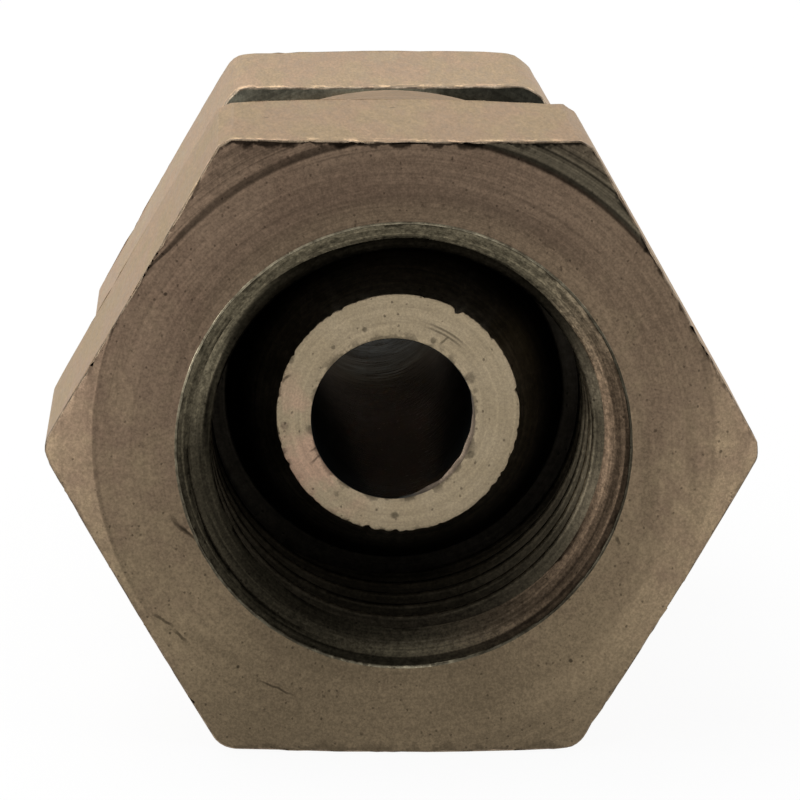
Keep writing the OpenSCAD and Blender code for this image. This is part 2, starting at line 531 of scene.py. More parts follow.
# Marks on the nut's face, as (x, z) points with the half width or the size
FACE_SCRATCHES = (
    ((-7.2, -2.05), (-6.3, -2.95), 0.09), ((-6.85, -2.3), (-6.2, -3.1), 0.06),
    ((-7.7, -5.15), (-6.85, -5.7), 0.07), ((-7.05, -5.7), (-6.5, -6.15), 0.07),
    ((6.45, -2.7), (6.6, -3.1), 0.08), ((-4.6, -7.2), (-3.1, -7.9), 0.04))
FACE_SMEARS = (
    ((7.3, 1.6), (7.5, -3.2), 0.3), ((8.5, 2.4), (8.9, -2.4), 0.2),
    ((-6.9, -5.6), (-4.6, -7.0), 0.35))
FACE_PITS = (
    ((-7.22, 4.71), 0.07), ((7.19, 6.11), 0.09), ((8.04, 4.77), 0.06), ((9.63, -0.1), 0.07),
    ((5.2, -6.7), 0.08), ((-5.0, -6.9), 0.07))
# Dents in the nut's upper flat, as (x, y) points with the size
FLAT_DENTS = (((-4.17, 4.6), 0.11), ((-0.2, 6.8), 0.13))
# Marks on the nose's face: pits with their size and darkness, short tool arcs, and scratches
NOSE_PITS = (
    ((-1.08, 2.69), 0.12, 0.55), ((-2.05, 2.11), 0.09, 0.5), ((-0.07, -3.29), 0.16, 0.55),
    ((2.25, 1.15), 0.24, 0.45), ((2.4, 0.75), 0.14, 0.35), ((2.3, -1.3), 0.16, 0.5),
    ((-3.35, 1.7), 0.14, 0.45), ((-3.55, -0.4), 0.16, 0.3), ((1.1, 2.35), 0.14, 0.45),
    ((-1.9, -2.6), 0.12, 0.35))
NOSE_ARCS = (2.89, 3.02)
NOSE_SCRATCHES = (
    ((-2.35, -0.95), (-2.85, -1.25)), ((-2.3, -1.2), (-2.75, -1.7)), ((1.2, 2.2), (1.6, 2.5)),
    ((-3.7, 0.9), (-3.3, 1.3)))
# Painted light and shade on the countersink: direction, spread, the depths where they set in, how
# much darker
CONE_LIGHT_AND_SHADE = (
    (90, 75, 0.62, 0.48, -0.75), (90, 60, 0.48, 0.62, 0.75), (212, 58, 0.14, 0.24, 0.82),
    (160, 34, 0.72, 0.82, 0.93), (137, 20, 0.56, 0.68, 0.8), (155, 26, 0.2, 0.4, -0.45),
    (228, 60, 0.62, 0.8, 0.45), (272, 46, 0.44, 0.66, 0.64), (312, 30, 0.75, 0.9, -0.4),
    (325, 40, 0.3, 0.4, 0.35), (12, 38, 0.36, 0.46, -1.0))
# Bright tool lines on the countersink, by how deep inside the rim they lie
CONE_LINES = (0.36, 0.61, 0.83)
# Painted shade on the rim's duller stretches: direction, spread to either side, and how much darker
RIM_SHADE = ((0, 70, 0.8), (215, 60, 0.7), (300, 34, 0.72), (254, 22, 0.35))


def low_on_the_face(f):
    """The olive tone that takes over towards the lower corners, in uneven patches."""
    uneven = f.math("ADD", f.wander(0.4, 9.0), f.wander(1.1, 14.0, 4.0, 0.6))
    low = f.ramp(f.math("ADD", f.z, uneven), 4.5, -7.5)
    near_the_rim = f.all_of(f.ramp(f.r, 7.9, 7.2), f.around(90, 80), 0.3)
    return f.math("ADD", low, f.math("ADD", near_the_rim, f.all_of(f.around(20, 45), 0.22)))


def from_the_step(f):
    """Distance outwards from the turned step round the nut's face."""
    off_z, reach = f.beside(FACE_DRIFT)
    at_top = f.ramp(f.math("DIVIDE", off_z, reach), *UPPER)
    return f.math("SUBTRACT", f.math("ADD", reach, f.math("MULTIPLY", at_top, STEP_IN)), FACE_R)


def oily_corner(f):
    """The grey-green oil beyond the step at the upper right, thinner towards the corner."""
    step = from_the_step(f)
    return f.all_of(f.ramp(step, 0.0, 0.12), f.around(57, 40), f.ramp(step, 1.3, 0.3, 0.55, 1.0))


def high_on_the_face(f):
    """The tool lines show more towards the top of the face."""
    return f.ramp(f.z, -2.0, 7.0, 0.3, 1.0)


def soft_mottle(f):
    """Soft spots, drawn out along the bar."""
    place = f.put("Mapping", {"Vector": f.place, "Scale": (1, 0.25, 1)})
    return f.ramp(f.noise(1.0, 3.0, 0.5, vector=place), 0.4, 0.6)


def dimmed(f, shade, shares):
    """The shade after each of the (share, amount) pairs has dimmed or lifted it."""
    for share, amount in shares:
        shade = f.dim(shade, share, amount)
    return shade


def step_groove_light_and_shade(f, shade, step):
    """The groove at the step with painted shade in it over the upper half, wide at the two upper
    corners, a painted highlight beside it at the upper left, painted shade on the upper right
    corner, and the tool lines beyond it.
    """
    upper = f.ramp(f.z, 1.0, 6.0)
    on_the_right, on_the_left = f.around(57, 36), f.around(117, 30)

    half = f.math("ADD", 0.04, f.math("ADD", f.math("MULTIPLY", on_the_right, 0.11),
                                      f.math("MULTIPLY", on_the_left, 0.14)))
    centre = f.math("ADD", 0.02, f.math("MULTIPLY", on_the_right, 0.05))
    off = f.math("ABSOLUTE", f.math("SUBTRACT", step, centre))
    groove = f.ramp(off, half, f.math("MULTIPLY", half, 0.4))
    darkness = f.math("SUBTRACT", 0.78, f.math("MULTIPLY", on_the_left, 0.2))
    # Painted shade in the groove, over the upper half only
    shade = f.dim(shade, f.all_of(groove, upper), darkness)
    # A painted highlight beside the groove at the upper left
    shade = f.dim(shade, f.all_of(f.line(step, -0.14, 0.06), f.around(122, 40)), -0.15)
    for place, amount in CORNER_LINES:
        shade = f.dim(shade, f.all_of(f.line(step, place, 0.045), f.around(56, 34)), amount)
    # Painted shade on the upper right corner beyond the step
    shade = f.dim(shade, f.all_of(f.ramp(step, 0.1, 0.26), f.around(60, 34)), 0.2)
    lines = f.ramp(f.rings(9.0, 0.5, 2.0), 0.42, 0.58)
    return f.dim(shade, f.all_of(lines, f.ramp(step, 0.0, 0.2), upper), 0.32)


def face_light_and_shade(f, shade, step):
    """Painted light and shade: brighter and duller stretches of the face by direction, most of them
    beyond the step, lighter on the chamfer to the left and right and darker towards the bottom.
    """
    beyond = f.ramp(step, -0.02, 0.06)
    roughly = f.ramp(f.math("ADD", step, f.wander(0.9, 1.2, 4.0, 0.6)), -0.25, 0.3)
    # Painted light and shade by direction
    shade = dimmed(f, shade, (
        (f.all_of(beyond, f.around(184, 32)), -0.22),
        (f.all_of(roughly, f.around(2, 28)), -0.12),
        (f.all_of(beyond, f.around(120, 34)), -0.15),
        (f.all_of(beyond, f.around(248, 32)), 0.06),
        (f.all_of(f.line(step, -0.03, 0.1), f.around(187, 40)), 0.2),
        (f.all_of(roughly, f.around(300, 26)), 0.14),
        (f.all_of(f.around(312, 40), f.ramp(f.r, 8.9, 8.2)), 0.16),
        (f.around(264, 46), 0.33),
        (f.around(300, 30), 0.08),
        (f.around(226, 44), 0.1),
        (f.all_of(f.around(90, 60), f.ramp(f.r, 8.8, 7.6)), 0.18),
        (f.all_of(f.around(345, 38), f.ramp(f.r, 7.4, 8.8)), -0.25),
        (f.all_of(f.around(158, 50), f.ramp(f.r, 7.8, 8.8)), -0.2),
        (f.all_of(f.around(235, 50), f.ramp(f.r, 7.9, 7.2)), 0.1)))
    dots = f.ramp(f.noise(4.0, 2.0), 0.5, 0.6)
    return f.dim(shade, f.all_of(f.line(f.r, 7.52, 0.07), f.around(68, 32), dots), 0.3)


def ragged_dark_border(f, shade):
    """Ragged dark bands where the face meets the slanting, the upper and the lower flats; the band
    along the lower flat is painted shade.
    """
    six_x = f.math("ABSOLUTE", f.math("SUBTRACT", f.x, NUT_DRIFT.x))
    six_z = f.math("SUBTRACT", f.z, NUT_DRIFT.z)
    slant = f.math("ADD", f.math("MULTIPLY", six_x, COS_30),
                   f.math("MULTIPLY", f.math("ABSOLUTE", six_z), 0.5))
    ragged = f.ramp(f.noise(1.7, 3.0, 0.6), 0.34, 0.7, 0.04, 0.24)
    # The band along the lower flat, the last of these, is painted shade
    for reach, wide, share in (
            (slant, 1.0, f.dim(f.ramp(f.z, -4.0, 7.0, 0.15, 1.0), f.around(150, 45), 0.45)),
            (six_z, 1.6, f.ramp(f.around(92, 40), 0.0, 0.3, 0.0, 1.12)),
            (f.math("MULTIPLY", six_z, -1.0), 2.2, f.ramp(f.around(275, 40), 0.0, 0.3, 0.0, 0.4))):
        inside = f.math("SUBTRACT", NUT_HALF, reach)
        far = f.math("MULTIPLY", ragged, wide)
        border = f.ramp(inside, far, f.math("MULTIPLY", far, 0.4))
        shade = f.dim(shade, f.math("MULTIPLY", border, share), 0.75)
    return shade


def nut_face_marks(f, shade):
    """The turned step round the face with painted shade and a painted highlight at it, painted
    shade on its upper right corner, painted light and shade by direction, its dark ragged edges and
    a few scratches.
    """
    step = from_the_step(f)
    shade = step_groove_light_and_shade(f, shade, step)
    shade = face_light_and_shade(f, shade, step)
    shade = ragged_dark_border(f, shade)
    for start, end, half in FACE_SCRATCHES:
        shade = f.dim(shade, f.scratch(start, end, half), 0.55)
    for start, end, half in FACE_SMEARS:
        shade = f.dim(shade, f.scratch(start, end, half), 0.14)
    for place, size in FACE_PITS:
        shade = f.dim(shade, f.pit(f.x, f.z, place, size), 0.65)
    return shade


def burrs(f, shade, edge):
    """Pale lumps that are painted glints, strongest on the upper flats, and dark nicks where a flat
    ends, at the station of its edge.
    """
    near = f.all_of(f.ramp(f.y, edge + 0.9, edge + 0.25), f.ramp(f.z, 6.0, 9.0, 0.1, 1.0))
    shade = f.dim(shade, f.all_of(f.ramp(f.noise(1.3, 3.0), 0.54, 0.66), near), 0.35)
    # Painted glints on the pale lumps
    return f.dim(shade, f.all_of(f.ramp(f.noise(1.9, 4.0, 0.65), 0.48, 0.6), near), -1.25)


def nut_flat_marks(f, shade):
    """Burrs along the front edge with painted glints, and two dents in the upper flat."""
    shade = burrs(f, shade, 0.0)
    upper = f.math("GREATER_THAN", f.z, 9.2)
    for place, size in FLAT_DENTS:
        shade = f.dim(shade, f.all_of(f.pit(f.x, f.y, place, size), upper), 0.6)
    return shade


def rim_marks(f, shade):
    """The rim has painted shade to the right and in other stretches, and painted glints on its burr
    below catch the light here and there.
    """
    for angle, spread, amount in RIM_SHADE:
        shade = f.dim(shade, f.around(angle, spread), amount)
    glints = f.ramp(f.noise(3.2, 3.0, 0.6), 0.5, 0.6)
    return f.dim(shade, f.math("MULTIPLY", glints, f.around(-96, 24)), -1.5)


def on_the_cone(f):
    """1 on the countersink and in the groove that crosses it, but for that groove at the top, left
    in the thread's near-black tone as painted shade, else 0.
    """
    below = f.math("SUBTRACT", f.math("ADD", f.r, f.y), MOUTH_R)
    first = f.all_of(f.ramp(f.y, 1.15, 0.95), f.ramp(f.z, 5.6, 4.4))
    return f.math("MAXIMUM", f.ramp(below, 0.12, 0.02), first)


def wiped_side(f):
    """The right of the countersink, wiped clean down to the brownish metal."""
    return f.all_of(on_the_cone(f), f.around(-15, 75))


def cone_light_and_shade(f, shade, cone, deep):
    """Painted shade in a dark ring inside the rim, wider below, and painted light and shade on the
    countersink by direction and by how deep inside the rim they lie.
    """
    wide = f.math("SUBTRACT", 0.18, f.math("MULTIPLY", f.math("DIVIDE", f.z, f.r), 0.09))
    ring = f.ramp(deep, wide, f.math("SUBTRACT", wide, 0.05))
    shade = f.dim(shade, f.all_of(cone, ring, f.ramp(f.z, 3.0, -1.0)), 0.8)
    for angle, spread, start, end, amount in CONE_LIGHT_AND_SHADE:
        share = f.all_of(cone, f.around(angle, spread), f.ramp(deep, start, end))
        shade = f.dim(shade, share, amount)
    shade = f.dim(shade, f.all_of(cone, f.around(38, 26)), -0.5)
    return f.dim(shade, f.all_of(cone, f.around(332, 32), f.line(deep, 0.33, 0.16)), 0.55)


def thread_light_and_shade(f, shade, cut):
    """Painted shade in the thread, most at its top near the mouth, at the lower left, at the bottom
    part way in and deeper in all round; painted light on its right and further in at its top; and a
    painted highlight on its crests below.
    """
    top = f.ramp(f.z, 0.5, 3.5)
    return dimmed(f, shade, (
        (f.all_of(cut, f.around(212, 36)), 0.6),
        (f.all_of(cut, f.around(8, 44)), -1.8),
        (f.ramp(f.y, 1.3, 5.5), 0.4),
        (f.all_of(cut, top, f.ramp(f.y, 3.0, 1.8)), 0.65),
        (f.all_of(cut, top, f.ramp(f.y, 2.4, 4.6)), -1.8),
        (f.all_of(cut, f.around(21, 18)), -0.8),
        (f.all_of(cut, f.around(270, 60), f.line(f.y, 2.9, 1.5)), 0.35),
        (f.all_of(cut, f.line(f.r, CREST_R, 0.14), f.ramp(f.z, 2.0, -1.0)), -1.5)))


def nut_thread_marks(f, shade):
    """Painted shade in a dark ring inside the rim, wider below, then painted shade in the thread
    above and painted light on its right side, and bright tool lines on the countersink.
    """
    cone = on_the_cone(f)
    deep = f.math("SUBTRACT", MOUTH_R, f.r)
    shade = cone_light_and_shade(f, shade, cone, deep)
    shade = thread_light_and_shade(f, shade, f.dim(1.0, cone, 1.0))
    for place in CONE_LINES:
        shade = f.dim(shade, f.all_of(cone, f.line(deep, place, 0.035)), -0.3)
    return shade


def collar_marks(f, shade):
    """Darker along the collar's top, and oil that has dried in olive spots near the crimp."""
    spots = f.ramp(f.noise(1.3, 3.0, 0.6), 0.48, 0.68)
    shade = f.dim(shade, f.ramp(f.z, 8.4, 9.0), 0.2)
    return f.dim(shade, f.all_of(spots, f.ramp(f.y, 11.2, 12.4)), 0.4)


def passage_marks(f, shade):
    """Painted shade on the drilled wall, darkest half way, and painted light towards the nose, but
    for behind the lip.
    """
    shade = f.dim(shade, f.line(f.y, 13.5, 4.5), 0.83)
    behind_the_lip = f.dim(1.0, hole_lip(f), 1.0)
    return f.dim(shade, f.all_of(f.ramp(f.y, 8.0, 5.8), behind_the_lip), -1.6)


def far_wall(f):
    """The far end of the drilled wall, which the light from behind reaches."""
    return f.ramp(f.y, 17.0, 23.0)


def hole_lip(f):
    """The burr at the lower right of the drilled hole."""
    return f.all_of(f.ramp(f.math("ADD", f.y, f.wander(1.4, 1.2)), 6.0, 5.5), f.around(-32, 58))


def body_flat_marks(f, shade):
    """Burrs along the hexagon's front edge, with painted glints."""
    return burrs(f, shade, HEX_Y)


def nose_marks(f, shade):
    """Pits, a smudge, two short tool arcs and dark burrs round the hole in the nose's face."""
    for place, size, amount in NOSE_PITS:
        shade = f.dim(shade, f.pit(f.x, f.z, place, size), amount)
    for place in NOSE_ARCS:
        shade = f.dim(shade, f.all_of(f.line(f.r, place, 0.05), f.around(60, 16)), 0.5)
    for start, end in NOSE_SCRATCHES:
        shade = f.dim(shade, f.scratch(start, end, 0.05), 0.55)
    from_hole = f.beside(BORE_DRIFT)[1]
    burr = f.ramp(f.noise(2.2, 3.0, 0.6), 0.42, 0.66, 0.04, 0.34)
    hole_edge = f.ramp(f.math("SUBTRACT", from_hole, BORE_R), burr, 0.0)
    shade = f.dim(shade, hole_edge, 0.6)
    rim = f.ramp(f.noise(3.6, 3.0, 0.6), 0.45, 0.66, 0.02, 0.26)
    left_and_low = f.math("MAXIMUM", f.around(185, 60), f.around(262, 35))
    return f.dim(shade, f.all_of(
        f.ramp(f.math("SUBTRACT", NOSE_R, f.r), rim, 0.0), left_and_low), 0.6)


def cone_marks(f, shade):
    """The cone keeps its tone towards the nose, while its outer part, the barrel and the head
    behind it are near black: painted shade deep inside the nut.
    """
    return f.dim(shade, f.ramp(f.r, 4.3, 5.0), 0.87)


def rosy_patches(f):
    """A rosy tinge at the lower left of the nose's face."""
    return f.all_of(f.around(205, 55), f.ramp(f.noise(0.9, 3.0), 0.4, 0.62))


def front_light_and_shade(f, shade):
    """The body's hidden front: painted light to the upper left, painted shade to the upper right,
    and painted light where the collar comes near.
    """
    shade = f.dim(shade, f.around(122, 26), -0.6)
    shade = f.dim(shade, f.around(60, 22), 0.4)
    rubbed = f.ramp(f.math("ABSOLUTE", f.math("ADD", f.x, 0.2)), 2.2, 0.7)
    return f.dim(shade, f.all_of(rubbed, f.ramp(f.z, 7.9, 8.2)), -3.0)


NUT_FACE, NUT_FLAT, NUT_EDGE, NUT_RIM, NUT_THREAD, NUT_HOLLOW, NUT_COLLAR = range(7)
TAN_EDGE = (0.85, 0.74, 0.62)
PALE_EDGE = (0.88, 0.79, 0.68)
# A dim edge tint for the body's front, whose darkness is painted shade
SHADE_EDGE = (0.35, 0.3, 0.25)
BLACK_EDGE = (0.12, 0.105, 0.09)
nut_finishes = [
    steel("nut_face_turned", (0.145, 0.099, 0.068), (0.172, 0.121, 0.083), (0.42, 0.6),
          rings=0.42, ring_place=high_on_the_face, ring_density=6.0, grain=0.8, grit=1.25,
          specks=0.3, marks=nut_face_marks,
          tones=[(low_on_the_face, (0.225, 0.17, 0.106)), (oily_corner, (0.152, 0.128, 0.088))]),
    steel("nut_flat_drawn", (0.335, 0.24, 0.163), (0.375, 0.268, 0.183), (0.34, 0.5),
          drawn=0.15, grain=0.55, grit=1.1, stretch=0.22, specks=0.06, edge=TAN_EDGE, patches=0.5,
          tones=[(soft_mottle, (0.345, 0.262, 0.168))], marks=nut_flat_marks),
    steel("nut_edge_worn", (0.10, 0.073, 0.05), (0.27, 0.205, 0.14), (0.4, 0.55),
          specks=0.4, patches=2.6),
    steel("nut_rim_burr", (0.13, 0.11, 0.075), (0.34, 0.3, 0.21), (0.3, 0.45),
          specks=0.3, patches=2.2, marks=rim_marks),
    # The thread's near-black steel and dim edge tint are painted shade deep in the mouth
    steel("nut_thread_cut", (0.018, 0.0152, 0.0102), (0.03, 0.025, 0.017), (0.42, 0.58),
          rings=0.9, grain=1.8, grit=2.2, specks=0.1, ring_density=4.0, edge=(0.1, 0.08, 0.055),
          tones=[(on_the_cone, (0.1, 0.086, 0.057)), (wiped_side, (0.112, 0.078, 0.051))],
          marks=nut_thread_marks),
    # The hollow's near-black steel is painted shade inside the nut
    steel("nut_hollow_dark", (0.011, 0.01, 0.0085), (0.018, 0.0162, 0.0135), (0.4, 0.6),
          rings=0.6, specks=0.1, edge=BLACK_EDGE),
    steel("nut_collar_turned", (0.32, 0.23, 0.155), (0.39, 0.285, 0.195), (0.35, 0.5),
          rings=0.4, specks=0.15, edge=TAN_EDGE, marks=collar_marks),
]
(NOSE_FACE, BODY_FLAT, BODY_EDGE, BODY_FRONT, BODY_END, BODY_THREAD, PASSAGE,
 BODY_CONE) = range(8)
body_finishes = [
    steel("nose_face_turned", (0.37, 0.295, 0.192), (0.44, 0.355, 0.238), (0.42, 0.55),
          rings=0.25, grain=0.5, grit=1.0, specks=0.25, ring_density=6.0, patches=0.8,
          tones=[(rosy_patches, (0.49, 0.335, 0.235))], marks=nose_marks),
    steel("body_flat_drawn", (0.375, 0.26, 0.174), (0.42, 0.298, 0.203), (0.34, 0.5),
          drawn=0.15, grain=0.55, grit=1.1, stretch=0.22, specks=0.05, edge=PALE_EDGE, patches=0.5,
          tones=[(soft_mottle, (0.39, 0.29, 0.186))], marks=body_flat_marks),
    steel("body_edge_worn", (0.18, 0.135, 0.095), (0.5, 0.4, 0.29), (0.38, 0.5),
          specks=0.6, patches=2.2),
    # The body's hidden front, the nose's head and its neck are dark olive steel: painted shade
    # inside the nut
    steel("body_front_shaded", (0.052, 0.052, 0.04), (0.085, 0.081, 0.062), (0.4, 0.55),
          rings=0.5, grain=1.4, specks=0.2, edge=SHADE_EDGE, marks=front_light_and_shade),
    steel("body_end_turned", (0.145, 0.1, 0.068), (0.19, 0.138, 0.09), (0.42, 0.58),
          rings=0.5, ring_density=6.0, grain=0.7, grit=1.2, specks=0.25),
    steel("body_thread_cut", (0.17, 0.135, 0.09), (0.26, 0.21, 0.145), (0.32, 0.5),
          rings=0.6, specks=0.2, ring_density=8.0),
    # The drilled passage's near-black steel is painted shade, and its far wall's paler tone is
    # painted light
    steel("passage_drilled", (0.021, 0.024, 0.0242), (0.037, 0.0425, 0.043), (0.35, 0.5),
          rings=0.8, specks=0.1, edge=(0.2, 0.17, 0.14), marks=passage_marks,
          tones=[(far_wall, (0.145, 0.162, 0.172)), (hole_lip, (0.15, 0.115, 0.085))]),
    steel("nose_cone_turned", (0.3, 0.255, 0.19), (0.42, 0.36, 0.28), (0.38, 0.55),
          rings=0.6, specks=0.2, marks=cone_marks),
]

# Swivel nut

nut_rear_r = NUT_HALF - 0.12
# The blank reaches past the hexagon's corners, and the front part of it has its own drift
blank_r = 11.4
blank_front = 3.0
blank_middle = 4.0
outline = [(r, FACE_Y) for r in (FACE_SEAM[1], 9.0, 9.2, 9.35)]
outline += [
    (FACE_R + x, FACE_Y + x * NUT_FRONT_SLOPE)
    for x in (0, 0.06, 0.12, 0.18, 0.26, 0.36, 0.6, 1.0, blank_r - FACE_R)
]
outline += [
    (blank_r, blank_middle), (blank_r, NUT_HEX_L - (blank_r - nut_rear_r) * NUT_REAR_SLOPE),
    (nut_rear_r, NUT_HEX_L),
]
blank = turned(outline, finish=NUT_FACE)
for face in blank.faces:
    if face.calc_center_median().y > blank_middle:
        face.material_index = NUT_COLLAR
for v in blank.verts:
    r = radius(v)
    if v.co.y < 1:
        if FACE_R < r < FACE_R + 0.4:
            side = max(0.0, 1 - abs(bearing(v) - GROOVE_AT) / GROOVE_SPREAD)
            v.co.y += GROOVE_DEPTH * side * math.sin(math.pi * (r - FACE_R) / GROOVE_WIDTH) ** 2
        if 9.1 < r < FACE_R + 0.5:
            share = min(1.0, max(0.0, (v.co.z / r - UPPER[0]) / (UPPER[1] - UPPER[0])))
            set_radius(v, r - STEP_IN * share * share * (3 - 2 * share))
    v.co += FACE_DRIFT if v.co.y < blank_front else NUT_DRIFT
nut_hexagon = hexagon(
    blank, NUT_HALF, 0, NUT_ROUNDS, NUT_DRIFT, NUT_FLAT, NUT_EDGE)

face_line = [(6.86, 0.05), (6.87, 0.016), (6.89, 0.0), (6.93, 0.0), (RIM_R, 0.014)]
face_line += [(r, FACE_Y) for r in (6.99, 7.2, 7.6, 8.0, 8.3, FACE_SEAM[0])]
nut_face = turned(face_line, finish=NUT_FACE)
for face in nut_face.faces:
    centre = face.calc_center_median()
    if math.hypot(centre.x, centre.z) < RIM_R + 0.005:
        face.material_index = NUT_RIM
for v in nut_face.verts:
    if radius(v) < RIM_R + 0.01:
        lump = 0.5 + 0.5 * noise.noise(v.co * 3.1)
        v.co.y += 0.016 * lump
        set_radius(v, radius(v) + 0.025 * (lump - 0.5))

THREAD_START = 0.13


def female(r, y):
    """The nut's thread is cut a little shallower, so that its crests end at CREST_R."""
    shallower = (THREAD_R - CREST_R) / (THREAD_R - ROOT_R)
    return max(THREAD_R - (THREAD_R - r) * shallower, MOUTH_R - y)


nut_thread = thread(THREAD_START, NUT_THREAD_L, 0.871, female, NUT_THREAD)
hollow_line = rounded([
    (CHAMBER_R, NUT_THREAD_L, 0), (CHAMBER_R, CRIMP_Y, 0.6), (LIP_R, LIP_Y, 0.4),
    (LIP_R, NUT_END_Y, 0.05), (LIP_R + 0.1, NUT_END_Y, 0),
])
nut_hollow = turned(hollow_line, finish=NUT_HOLLOW)
collar_line = rounded([
    (LIP_R + 0.2, NUT_END_Y, 0), (LIP_R + WALL, NUT_END_Y, 0.12),
    (LIP_R + WALL, LIP_Y + BEND_LAG, 0.4), (COLLAR_R, CRIMP_Y + BEND_LAG, 0.2),
    (COLLAR_R, NUT_HEX_L + 0.02, 0.05), (COLLAR_R + 0.06, NUT_HEX_L, 0),
], arc=4)
nut_collar = turned(collar_line, finish=NUT_COLLAR)
nut = joined(
    [nut_hexagon, nut_face, nut_thread, nut_hollow, nut_collar],
    [
        ((FACE_Y, FACE_SEAM[1]), (FACE_Y, FACE_SEAM[0]), NUT_FACE),
        ((0.05, 6.86), (THREAD_START, MOUTH_R - THREAD_START), NUT_THREAD),
        ((NUT_THREAD_L, 6.2), (NUT_THREAD_L, CHAMBER_R), NUT_HOLLOW),
        ((NUT_END_Y, LIP_R + 0.1), (NUT_END_Y, LIP_R + 0.2), NUT_COLLAR),
        ((NUT_HEX_L, COLLAR_R + 0.06), (NUT_HEX_L, nut_rear_r), NUT_COLLAR),
    ],
)
finished(nut, "swivel_nut_dressed", "swivel_nut", "swivel_nut", nut_finishes)

# Body

body_front_r = BODY_HALF - 0.12
body_rear_r = BODY_HALF - 0.2
blank_r = 10.5
outline = [
    (body_front_r, HEX_Y),
    (blank_r, HEX_Y + (blank_r - body_front_r) * BODY_FRONT_SLOPE),
    (blank_r, MALE_Y - (blank_r - body_rear_r) * BODY_REAR_SLOPE),
    (body_rear_r, MALE_Y),
]
blank = turned(outline, finish=BODY_END)
body_hexagon = hexagon(
    blank, BODY_HALF, BODY_TURN, BODY_ROUNDS, Vector(), BODY_FLAT, BODY_EDGE)
for face in body_hexagon.faces:
    if face.material_index == BODY_END and face.calc_center_median().y < HEX_Y + 1:
        face.material_index = BODY_FRONT

nose_line = [(BORE_R + 0.02, NOSE_Y)] + [(r, NOSE_Y) for r in (2.75, 3.0, 3.3, 3.6)]
nose_line += rounded([
    (NOSE_R - 0.1, NOSE_Y, 0), (NOSE_R, NOSE_Y, 0.04), (BARREL_R, CONE_END_Y, 0.3),
    (BARREL_R, HEAD_Y, 0.15), (HEAD_R, HEAD_Y, 0.15), (HEAD_R, HEAD_END_Y, 0.2),
    (NECK_R, SHOULDER_END_Y, 0.4), (NECK_R, HEX_Y, 0.3), (body_front_r - 0.2, HEX_Y, 0),
])
nose = turned(nose_line, finish=BODY_FRONT)
for face in nose.faces:
    station = face.calc_center_median().y
    if station < NOSE_Y + 0.01:
        face.material_index = NOSE_FACE
    elif station < HEAD_Y + 0.1:
        face.material_index = BODY_CONE
# Nicks in the edge of the nose's face: direction in degrees, depth, and half width in degrees
NOTCHES = ((61, 0.13, 2.2), (-104, 0.12, 2.0), (-90.5, 0.1, 1.6), (-97, 0.06, 2.0),
           (150, 0.06, 1.5), (205, 0.05, 1.4), (-30, 0.05, 1.5), (12, 0.06, 1.2))
for v in nose.verts:
    r = radius(v)
    if v.co.y < NOSE_Y + 0.12 and r > NOSE_R - 0.15:
        angle = bearing(v)
        bite = 0.09 * max(0.0, noise.noise(v.co * 5.7) - 0.05)
        for where, deep, wide in NOTCHES:
            off = (angle - where + 180) % 360 - 180
            bite += deep * max(0.0, 1 - (off / wide) ** 2)
        set_radius(v, r - bite)
for v in nose.verts:
    if v.co.y < NOSE_Y + 0.01:
        share = min(1.0, max(0.0, (NOSE_R - radius(v)) / (NOSE_R - BORE_R)))
        v.co += BORE_DRIFT * share


def seat_station(r):
    """Where along the axis the inner cone of the male end has this radius."""
    return END_Y - (SEAT_R - r) / SEAT_SLOPE


# The far end of the drilled tube is set onto the cone, and this ring of the cone meets it
bore_end = 32.2
seat_inner_r = 3.2
# The ragged lip of the hole: its direction, its spread, and how far it stands in
LIP_AT = -34
LIP_SPREAD = 52
LIP_IN = 0.17
bore = turned([
    (BORE_R, y) for y in (NOSE_Y + 0.02, NOSE_Y + 0.3, NOSE_Y + 8, 20, 26, 31.5, bore_end)
], finish=PASSAGE)
for v in bore.verts:
    if v.co.y < NOSE_Y + 0.1:
        share = max(0.0, 1 - ((bearing(v) - LIP_AT) / LIP_SPREAD) ** 2)
        ragged = 0.8 + 0.4 * noise.noise(v.co * 2.3)
        set_radius(v, BORE_R - LIP_IN * share * ragged)
        v.co.y += 0.06 * share
bmesh.ops.translate(bore, vec=BORE_DRIFT, verts=bore.verts)
for v in bore.verts:
    if v.co.y > bore_end - 0.2:
        v.co.y = seat_station(radius(v))
male_front_r = THREAD_R - MALE_CHAMFER
seat = turned(rounded([
    (seat_inner_r, seat_station(seat_inner_r), 0), (SEAT_R, END_Y, 0.06),
    (male_front_r, END_Y, 0.08), (male_front_r + 0.1, END_Y - 0.1, 0),
]), finish=BODY_END)
MALE_START = RELIEF_END_Y - 0.6


def male(r, y):
    """The male thread runs out behind the relief groove and into the chamfer at its end."""
    rising = RELIEF_R + 0.03 + max(0.0, y - MALE_START)
    falling = male_front_r + (END_Y - y)
    return min(r, rising, falling)


male_thread = thread(MALE_START, END_Y - 0.2, 0.0, male, BODY_THREAD)
relief = turned(rounded([
    (body_rear_r - 0.2, MALE_Y, 0), (RELIEF_R, MALE_Y, 0.25),
    (RELIEF_R, MALE_START - 0.1, 0),
]), finish=BODY_END)
body = joined(
    [body_hexagon, nose, bore, seat, male_thread, relief],
    [
        ((HEX_Y, body_front_r), (HEX_Y, body_front_r - 0.2), BODY_FRONT),
        ((NOSE_Y, BORE_R + 0.02), (NOSE_Y + 0.02, BORE_R), PASSAGE),
        ((bore_end, BORE_R), (seat_station(seat_inner_r), seat_inner_r), BODY_END),
        ((END_Y - 0.1, male_front_r + 0.1), (END_Y - 0.2, male_front_r + 0.2), BODY_THREAD),
        ((MALE_START, RELIEF_R + 0.03), (MALE_START - 0.1, RELIEF_R), BODY_END),
        ((MALE_Y, body_rear_r - 0.2), (MALE_Y, body_rear_r), BODY_END),
    ],
)
finished(body, "body_dressed", "body", "body", body_finishes)

# Stage

